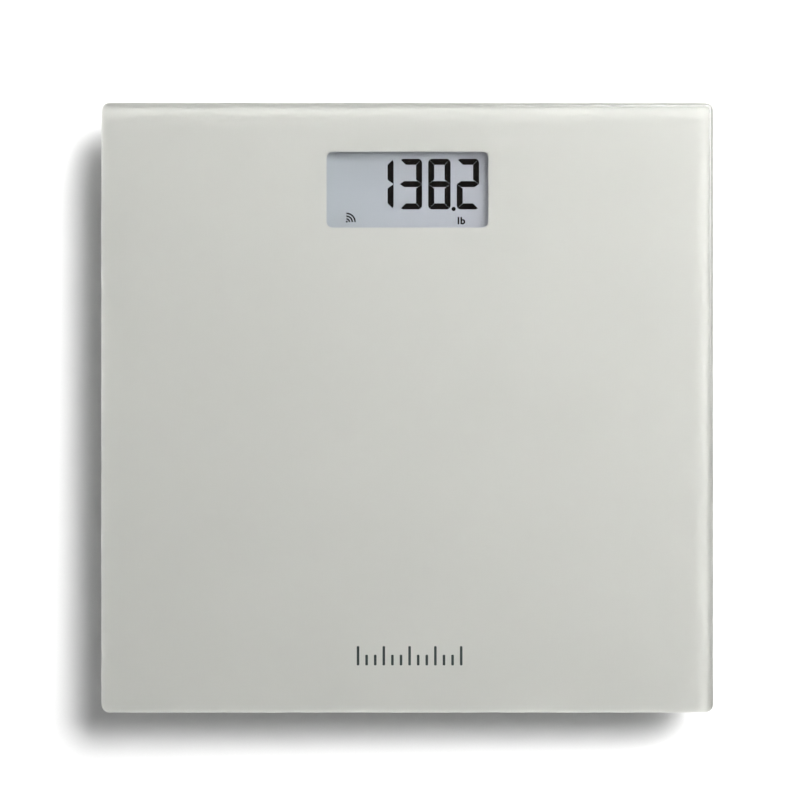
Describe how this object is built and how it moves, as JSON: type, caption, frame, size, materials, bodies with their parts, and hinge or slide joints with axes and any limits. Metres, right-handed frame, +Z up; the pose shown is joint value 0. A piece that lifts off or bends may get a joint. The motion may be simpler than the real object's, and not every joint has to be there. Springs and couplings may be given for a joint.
{
  "type": "bathroom scale",
  "caption": "Square bathroom scale: glass platform over a slim plastic case, recessed segment display near the far edge, round feet on load cells, and a battery door underneath.",
  "frame": {"origin": "on the floor, under the middle of the glass", "axes": "+Z up through the platform, +Y towards the edge with the display, +X to the right as the display is read"},
  "size_m": [0.285, 0.284, 0.025],
  "materials": {
    "platform_glass": "tempered glass with polished edges",
    "grey_print": "warm grey print seen through the glass",
    "foam_tape": "white double-sided foam tape",
    "case_plastic": "light grey ABS, finely spark-eroded",
    "white_plastic": "white ABS, satin",
    "pad_rubber": "moulded grey rubber",
    "zebra_rubber": "layered silicone",
    "plated_steel": "pressed and plated steel",
    "screw_zinc": "zinc-plated steel",
    "contact_nickel": "nickel-plated steel",
    "display_glass": "reflective liquid crystal cell with a matt polariser",
    "board_green": "green solder mask on glass-epoxy",
    "black_resin": "poured epoxy",
    "switch_plastic": "black nylon",
    "battery_jacket": "printed jacket on a metal can",
    "white_sheath": "white PVC",
    "red_sheath": "red PVC",
    "black_sheath": "black PVC"
  },
  "bodies": {
    "scale_body": {"glass_platform": "platform_glass", "decor_film": "grey_print", "bonding_tape": "foam_tape", "upper_frame": "case_plastic", "base_cover": "case_plastic", "lcd_frame": "white_plastic", "zebra_strip": "zebra_rubber", "load_cell_far_left": "plated_steel", "load_cell_far_right": "plated_steel", "load_cell_near_left": "plated_steel", "load_cell_near_right": "plated_steel", "cover_screw_far_left": "screw_zinc", "cover_screw_far_right": "screw_zinc", "cover_screw_left": "screw_zinc", "cover_screw_right": "screw_zinc", "cover_screw_near_left": "screw_zinc", "cover_screw_near_right": "screw_zinc", "board_screw_far_left": "screw_zinc", "board_screw_far_right": "screw_zinc", "board_screw_near_left": "screw_zinc", "board_screw_near_right": "screw_zinc", "battery_contact_far_left": "contact_nickel", "battery_contact_far_right": "contact_nickel", "battery_contact_near_left": "contact_nickel", "battery_contact_near_middle": "contact_nickel", "battery_contact_near_right": "contact_nickel", "radio_module": "contact_nickel", "lcd_cell": "display_glass", "main_board": "board_green", "controller_blob": "black_resin", "tact_switch_unit": "switch_plastic", "tact_switch_pairing": "switch_plastic", "battery_cell_1": "battery_jacket", "battery_cell_2": "battery_jacket", "battery_cell_3": "battery_jacket", "battery_cell_4": "battery_jacket", "cell_lead_far_left": "white_sheath", "cell_lead_far_right": "white_sheath", "cell_lead_near_left": "white_sheath", "cell_lead_near_right": "white_sheath", "battery_lead_left": "red_sheath", "battery_lead_right": "black_sheath"},
    "foot_far_left": {"foot_cap_far_left": "white_plastic", "foot_pad_far_left": "pad_rubber", "pressure_plate_far_left": "plated_steel"},
    "foot_far_right": {"foot_cap_far_right": "white_plastic", "foot_pad_far_right": "pad_rubber", "pressure_plate_far_right": "plated_steel"},
    "foot_near_left": {"foot_cap_near_left": "white_plastic", "foot_pad_near_left": "pad_rubber", "pressure_plate_near_left": "plated_steel"},
    "foot_near_right": {"foot_cap_near_right": "white_plastic", "foot_pad_near_right": "pad_rubber", "pressure_plate_near_right": "plated_steel"},
    "door": {"battery_door": "case_plastic"},
    "unit_key": {"unit_button": "white_plastic"},
    "pairing_key": {"pairing_button": "white_plastic"}
  },
  "joints": [
    {"name": "foot_far_left_press", "type": "slide", "parent": "scale_body", "child": "foot_far_left", "axis": [0, 0, 1], "range_m": [0, 0.0005], "stiffness_N_per_m": 4000, "springref_m": -0.0012, "deforming": ["load_cell_far_left"]},
    {"name": "foot_far_right_press", "type": "slide", "parent": "scale_body", "child": "foot_far_right", "axis": [0, 0, 1], "range_m": [0, 0.0005], "stiffness_N_per_m": 4000, "springref_m": -0.0012, "deforming": ["load_cell_far_right"]},
    {"name": "foot_near_left_press", "type": "slide", "parent": "scale_body", "child": "foot_near_left", "axis": [0, 0, 1], "range_m": [0, 0.0005], "stiffness_N_per_m": 4000, "springref_m": -0.0012, "deforming": ["load_cell_near_left"]},
    {"name": "foot_near_right_press", "type": "slide", "parent": "scale_body", "child": "foot_near_right", "axis": [0, 0, 1], "range_m": [0, 0.0005], "stiffness_N_per_m": 4000, "springref_m": -0.0012, "deforming": ["load_cell_near_right"]},
    {"name": "door_hinge", "type": "hinge", "parent": "scale_body", "child": "door", "pos_m": [0, -0.00965, 0.004], "axis": [-1, 0, 0], "range_deg": [0, 75]},
    {"name": "unit_button_press", "type": "slide", "parent": "scale_body", "child": "unit_key", "axis": [0, 0, 1], "range_m": [0, 0.00035], "stiffness_N_per_m": 5000, "deforming": ["tact_switch_unit"]},
    {"name": "pairing_button_press", "type": "slide", "parent": "scale_body", "child": "pairing_key", "axis": [0, 0, 1], "range_m": [0, 0.00035], "stiffness_N_per_m": 5000, "deforming": ["tact_switch_pairing"]}
  ]
}
